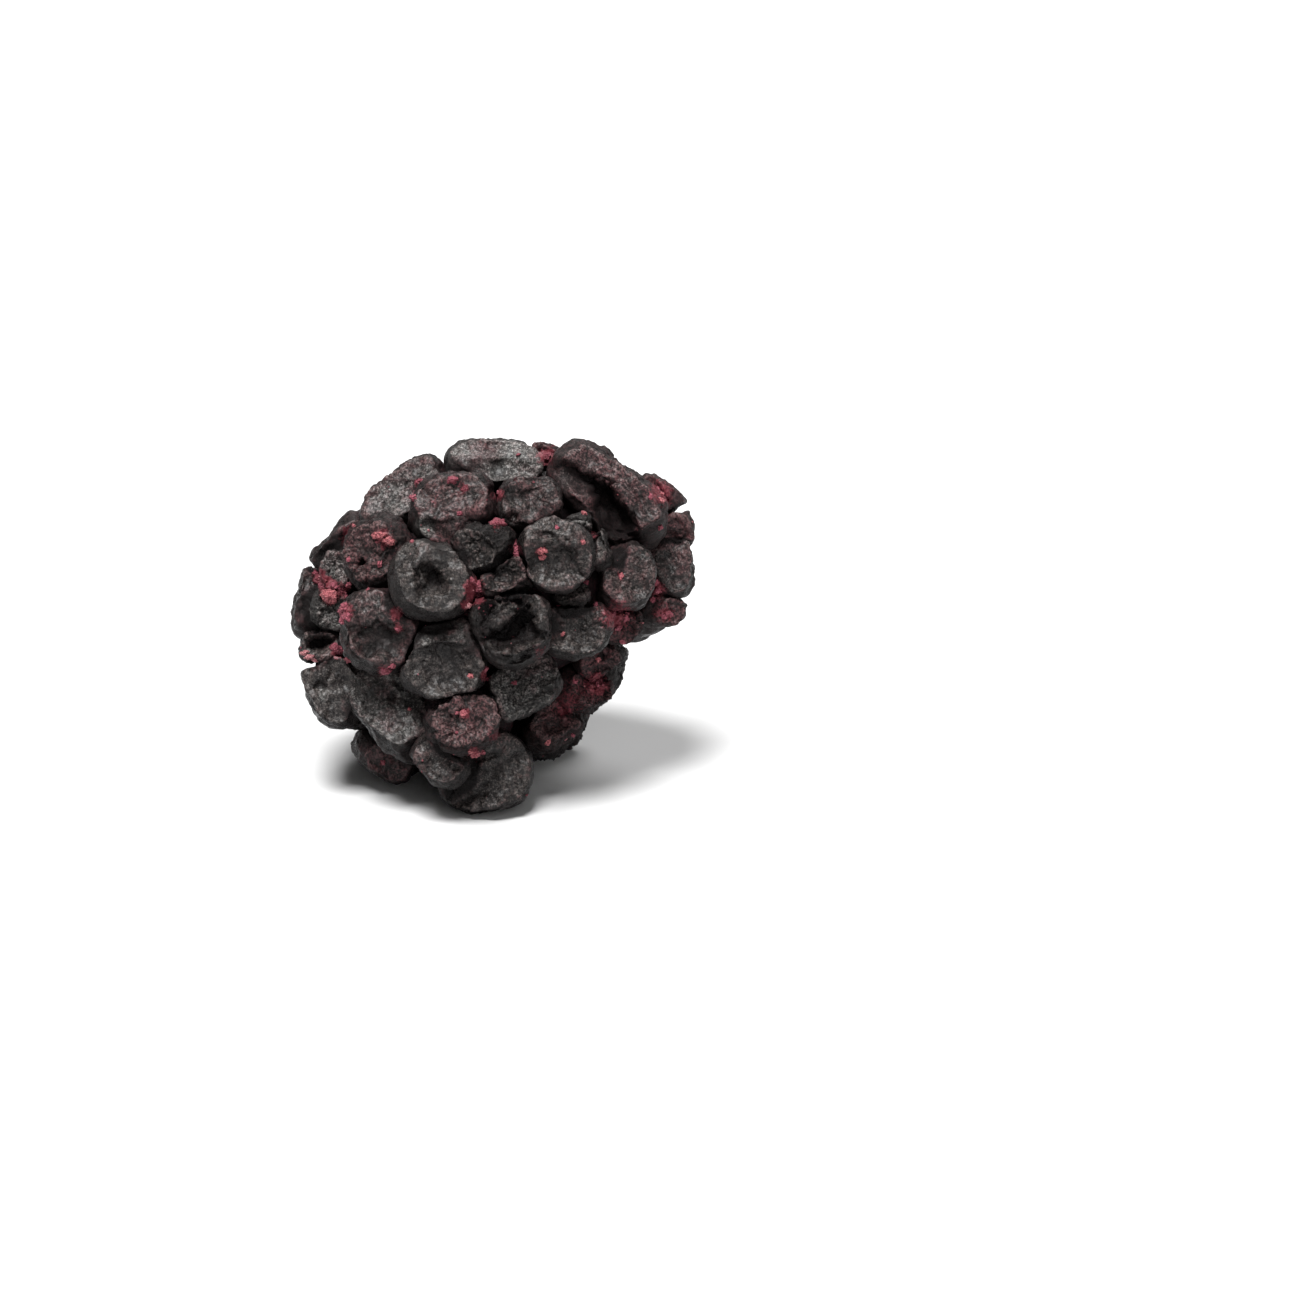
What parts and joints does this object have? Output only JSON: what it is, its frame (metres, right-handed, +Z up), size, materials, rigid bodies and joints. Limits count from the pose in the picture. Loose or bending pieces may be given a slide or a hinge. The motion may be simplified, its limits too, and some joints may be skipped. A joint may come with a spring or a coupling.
{
  "type": "dried bramble berry",
  "caption": "Freeze-dried bramble berry: a lumpy aggregate fruit of crumpled, closely packed drupelets with sunken hollows, lying on a surface.",
  "frame": {"origin": "on the resting surface, under the middle of the berry", "axes": "+Z up from the resting surface, +X along the berry's longest extent, -Y out of its best side"},
  "size_m": [0.0202, 0.0186, 0.0176],
  "materials": {
    "skin": "matte",
    "crumb": "matte",
    "fibre": "matte"
  },
  "bodies": {
    "root": {"berry": "skin"}
  },
  "joints": []
}
